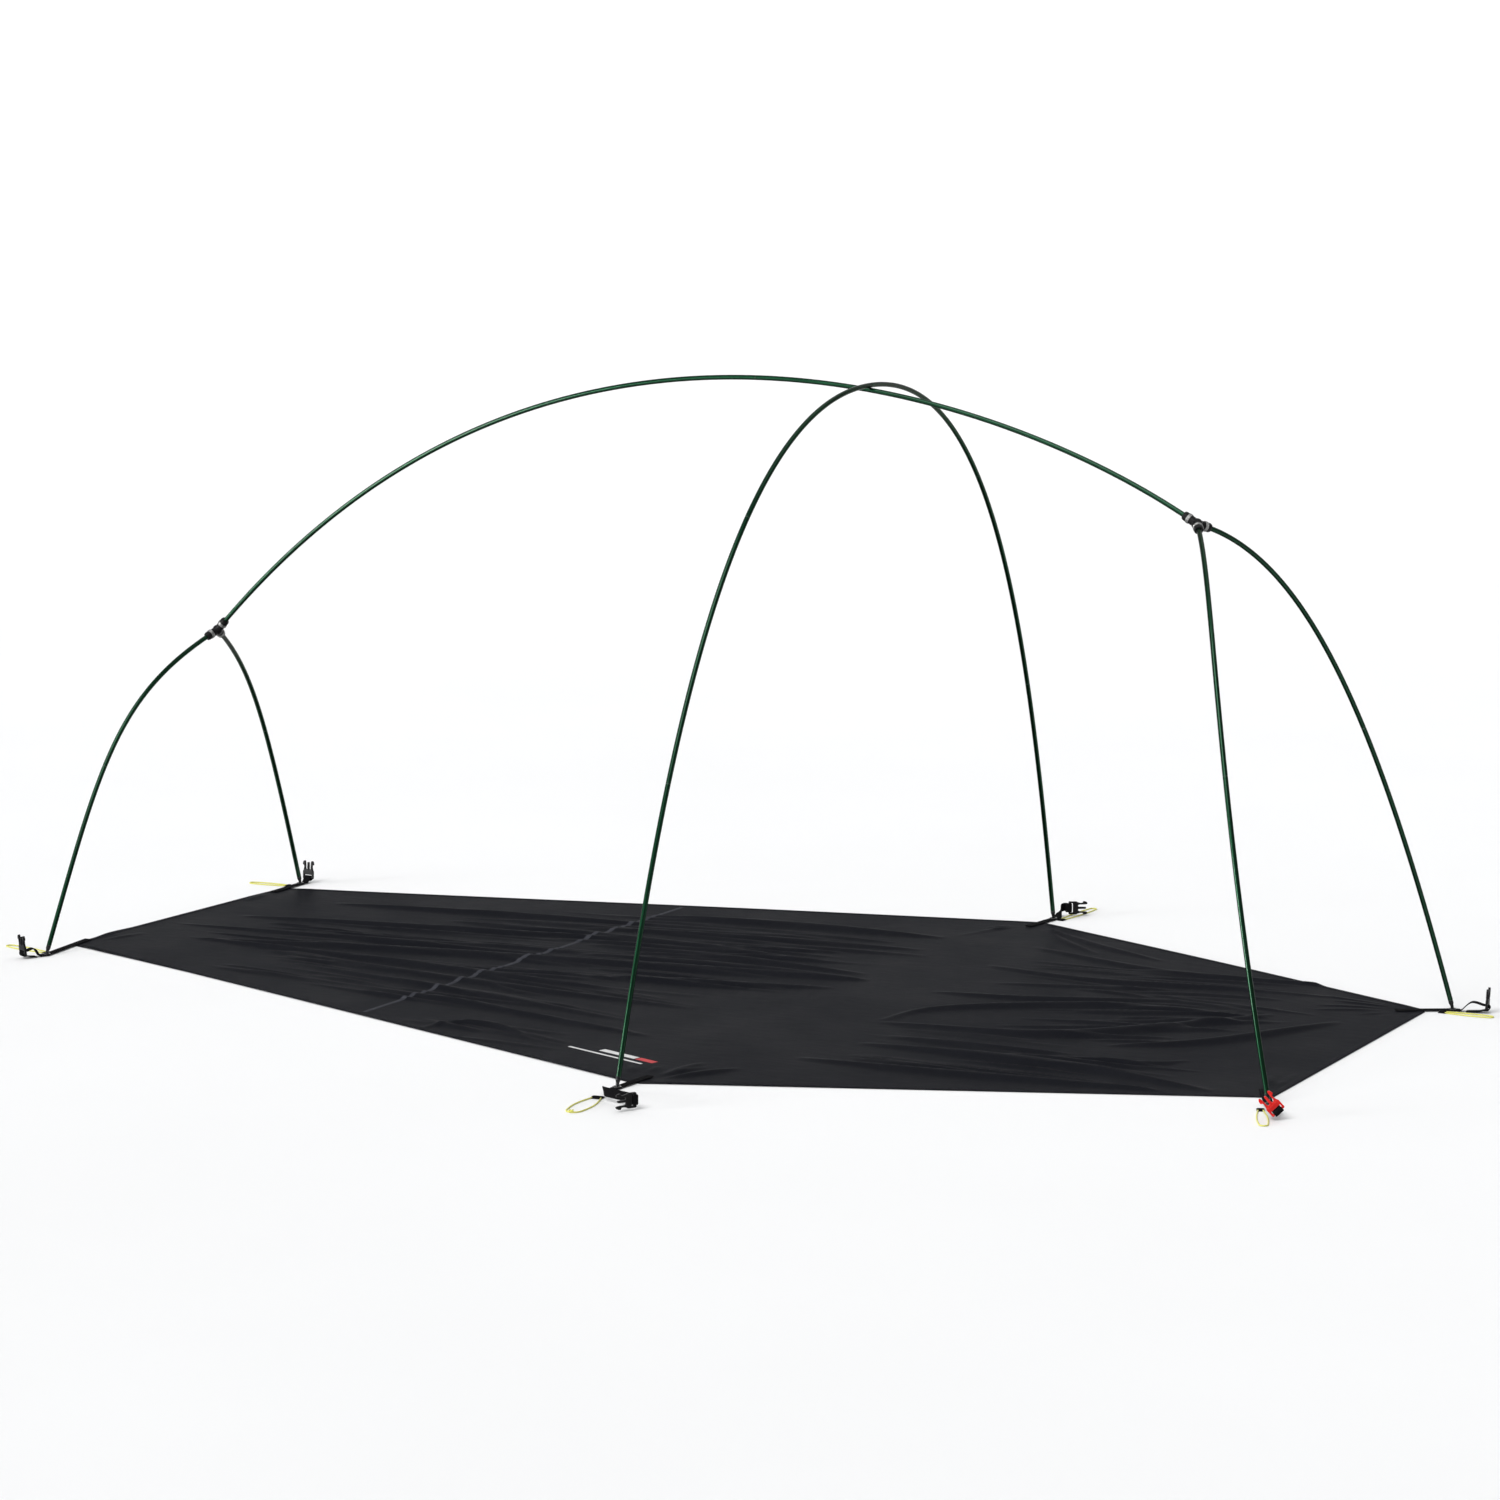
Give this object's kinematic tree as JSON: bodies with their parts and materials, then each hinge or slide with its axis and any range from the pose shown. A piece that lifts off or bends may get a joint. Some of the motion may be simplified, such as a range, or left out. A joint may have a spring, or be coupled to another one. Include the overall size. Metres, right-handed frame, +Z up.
{
  "type": "tent pole frame",
  "caption": "Freestanding tent pole frame with a ridge pole, hubbed legs and a crossing arch, its tips standing in grommets on the strapped corners of a groundsheet.",
  "frame": {"origin": "underside of the groundsheet, midway between the feet of the arch pole", "axes": "+X along the tent from the low hub to the high hub, +Y to the back, +Z up"},
  "size_m": [2.3866, 1.7608, 0.9867],
  "materials": {
    "green_anodised": "satin",
    "tip_metal": "satin",
    "black_moulding": "satin",
    "red_moulding": "satin",
    "collar_grey": "satin",
    "sheet_fabric": "satin",
    "strap_webbing": "matte",
    "grommet_metal": "satin",
    "yellow_cord": "matte",
    "elastic_cord": "matte"
  },
  "bodies": {
    "groundsheet": {"groundsheet": "sheet_fabric", "low_front_strap": "strap_webbing", "low_front_grommet": "grommet_metal", "low_front_peg_loop": "yellow_cord", "low_back_strap": "strap_webbing", "low_back_grommet": "grommet_metal", "low_back_peg_loop": "yellow_cord", "mid_back_strap": "strap_webbing", "mid_back_grommet": "grommet_metal", "mid_back_peg_loop": "yellow_cord", "high_back_strap": "strap_webbing", "high_back_grommet": "grommet_metal", "high_back_peg_loop": "yellow_cord", "high_front_strap": "strap_webbing", "high_front_grommet": "grommet_metal", "high_front_peg_loop": "yellow_cord", "mid_front_strap": "strap_webbing", "mid_front_grommet": "grommet_metal", "mid_front_peg_loop": "yellow_cord"},
    "pole_frame": {"low_hub": "black_moulding", "high_hub": "black_moulding", "low_hub_collar": "collar_grey", "high_hub_collar": "collar_grey", "spine_section_1": "green_anodised", "spine_section_2": "green_anodised", "spine_section_3": "green_anodised", "spine_section_4": "green_anodised", "spine_section_5": "green_anodised", "spine_shock_cord": "elastic_cord", "low_leg_front_section_1": "green_anodised", "low_leg_front_section_2": "green_anodised", "low_leg_front_tip": "tip_metal", "low_leg_front_shock_cord": "elastic_cord", "low_leg_back_section_1": "green_anodised", "low_leg_back_section_2": "green_anodised", "low_leg_back_tip": "tip_metal", "low_leg_back_shock_cord": "elastic_cord", "high_leg_front_section_1": "green_anodised", "high_leg_front_section_2": "green_anodised", "high_leg_front_tip": "tip_metal", "high_leg_front_shock_cord": "elastic_cord", "high_leg_back_section_1": "green_anodised", "high_leg_back_section_2": "green_anodised", "high_leg_back_tip": "tip_metal", "high_leg_back_shock_cord": "elastic_cord"},
    "arch": {"arch_section_1": "green_anodised", "arch_section_2": "green_anodised", "arch_section_3": "green_anodised", "arch_section_4": "green_anodised", "arch_section_5": "green_anodised", "arch_section_6": "green_anodised", "arch_front_tip": "tip_metal", "arch_back_tip": "tip_metal", "arch_shock_cord": "elastic_cord"},
    "low_front_buckle": {"low_front_buckle": "black_moulding"},
    "low_back_buckle": {"low_back_buckle": "black_moulding"},
    "mid_back_buckle": {"mid_back_buckle": "black_moulding"},
    "high_back_buckle": {"high_back_buckle": "black_moulding"},
    "high_front_buckle": {"high_front_buckle": "red_moulding"},
    "mid_front_buckle": {"mid_front_buckle": "black_moulding"}
  },
  "joints": [
    {"name": "frame_lift", "type": "slide", "parent": "groundsheet", "child": "pole_frame", "axis": [0, 0, 1], "range_m": [0, 0.1]},
    {"name": "arch_lift", "type": "slide", "parent": "pole_frame", "child": "arch", "axis": [0, 0, 1], "range_m": [0, 0.1]},
    {"name": "low_front_buckle_swing", "type": "hinge", "parent": "groundsheet", "child": "low_front_buckle", "pos_m": [-1.35078, -0.40652, 0.0085], "axis": [-0.8924, 0.4512, 0], "range_deg": [-88, 15]},
    {"name": "low_back_buckle_swing", "type": "hinge", "parent": "groundsheet", "child": "low_back_buckle", "pos_m": [-1.33065, 0.39251, 0.009], "axis": [0.9988, -0.0499, 0], "range_deg": [-88, 60]},
    {"name": "mid_back_buckle_swing", "type": "hinge", "parent": "groundsheet", "child": "mid_back_buckle", "pos_m": [0.00964, 0.78023, 0.015], "axis": [0, 0, 1], "range_deg": [-100, 100]},
    {"name": "high_back_buckle_swing", "type": "hinge", "parent": "groundsheet", "child": "high_back_buckle", "pos_m": [0.92433, 0.38102, 0.0085], "axis": [0.2, -0.9798, 0], "range_deg": [-88, 15]},
    {"name": "high_front_buckle_swing", "type": "hinge", "parent": "groundsheet", "child": "high_front_buckle", "pos_m": [0.91734, -0.44529, 0.0135], "axis": [-0.6242, -0.3818, -0.6816], "range_deg": [-88, 10]},
    {"name": "mid_front_buckle_swing", "type": "hinge", "parent": "groundsheet", "child": "mid_front_buckle", "pos_m": [0.0903, -0.83663, 0.015], "axis": [0, 0, 1], "range_deg": [-10, 175]}
  ]
}
